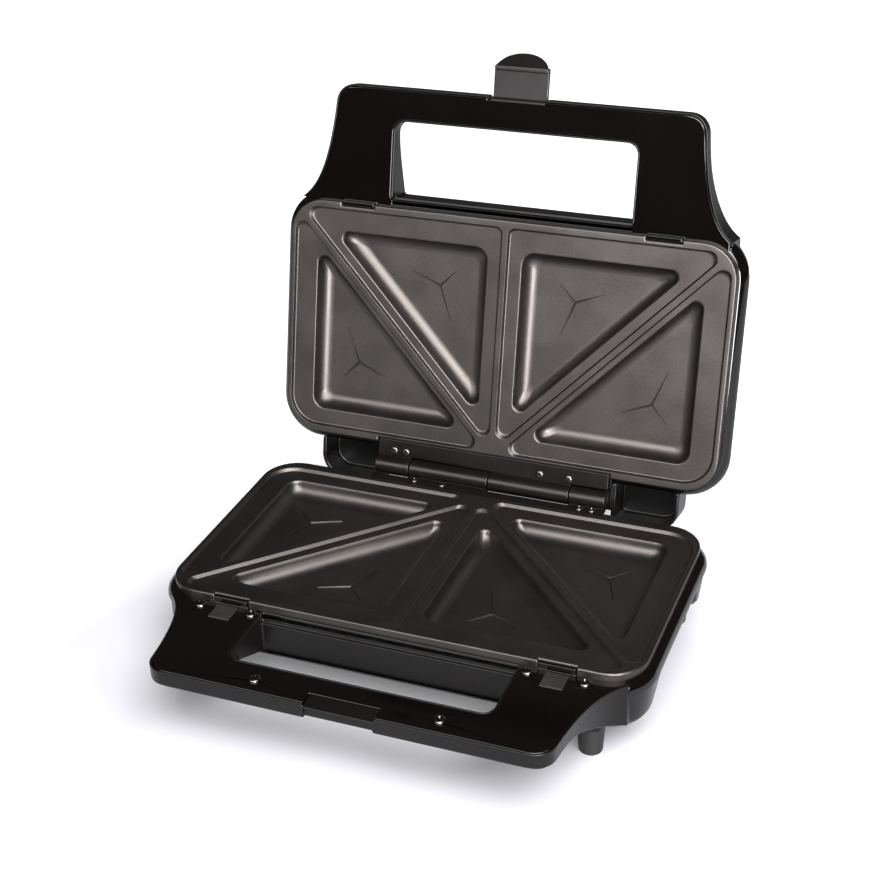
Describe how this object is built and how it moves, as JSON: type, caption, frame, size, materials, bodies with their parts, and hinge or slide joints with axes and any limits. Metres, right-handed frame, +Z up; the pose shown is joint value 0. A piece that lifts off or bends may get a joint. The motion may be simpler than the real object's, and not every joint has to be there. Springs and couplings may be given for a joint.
{
  "type": "sandwich toaster",
  "caption": "Two-slice sandwich toaster with hinged lid, triangular-pocket cast plates, loop handles and a latch clip.",
  "frame": {"origin": "on the table, under the middle of the whole width and length with the lid open", "axes": "+X to the user's right, +Y from the handle to the hinge, +Z up; stored with the lid open"},
  "size_m": [0.259, 0.2762, 0.2722],
  "materials": {
    "gloss_black": "moulded, high gloss",
    "satin_black": "moulded, fine satin",
    "coated_aluminium": "die-cast, non-stick coated",
    "shield_steel": "pressed sheet",
    "ceramic": "fired ceramic",
    "element_steel": "oxidised tube",
    "screw_steel": "blackened steel",
    "grey_silicone": "moulded silicone",
    "foot_rubber": "moulded rubber",
    "thermostat_body": "phenolic",
    "fuse_white": "ceramic body",
    "bush_rubber": "moulded rubber",
    "hinge_black": "cast, satin black paint",
    "red_lens": "clear tinted",
    "green_lens": "clear tinted",
    "neon_glass": "clear",
    "clip_black": "moulded, satin"
  },
  "bodies": {
    "base": {"lower_casing": "satin_black", "lower_trim_frame": "gloss_black", "lower_plate": "coated_aluminium", "lower_heat_shield": "shield_steel", "lower_heating_element": "element_steel", "lower_element_supports": "ceramic", "lower_plate_screws": "screw_steel", "lower_trim_screws": "screw_steel", "buffer_pads": "grey_silicone", "thermostat": "thermostat_body", "thermal_fuse": "fuse_white", "terminal_block": "ceramic", "cord_inlet_bush": "bush_rubber", "lower_hinge_leaf": "hinge_black", "lower_hinge_screws": "screw_steel", "hinge_pin": "screw_steel", "front_feet": "foot_rubber", "rear_feet": "foot_rubber"},
    "lid": {"upper_casing": "satin_black", "upper_trim_frame": "gloss_black", "upper_plate": "coated_aluminium", "upper_heat_shield": "shield_steel", "upper_heating_element": "element_steel", "upper_element_supports": "ceramic", "upper_plate_screws": "screw_steel", "upper_hinge_leaf": "hinge_black", "upper_hinge_screws": "screw_steel", "power_lens": "red_lens", "ready_lens": "green_lens", "power_neon": "neon_glass", "ready_neon": "neon_glass", "latch_pin": "screw_steel"},
    "latch": {"latch_clip": "clip_black"}
  },
  "joints": [
    {"name": "lid_hinge", "type": "hinge", "parent": "base", "child": "lid", "pos_m": [0, 0.06831, 0.051], "axis": [1, 0, 0], "range_deg": [0, 103.5]},
    {"name": "latch_pivot", "type": "hinge", "parent": "lid", "child": "latch", "pos_m": [0, 0.12418, 0.24903], "axis": [1, 0, 0], "range_deg": [0, 90]}
  ]
}
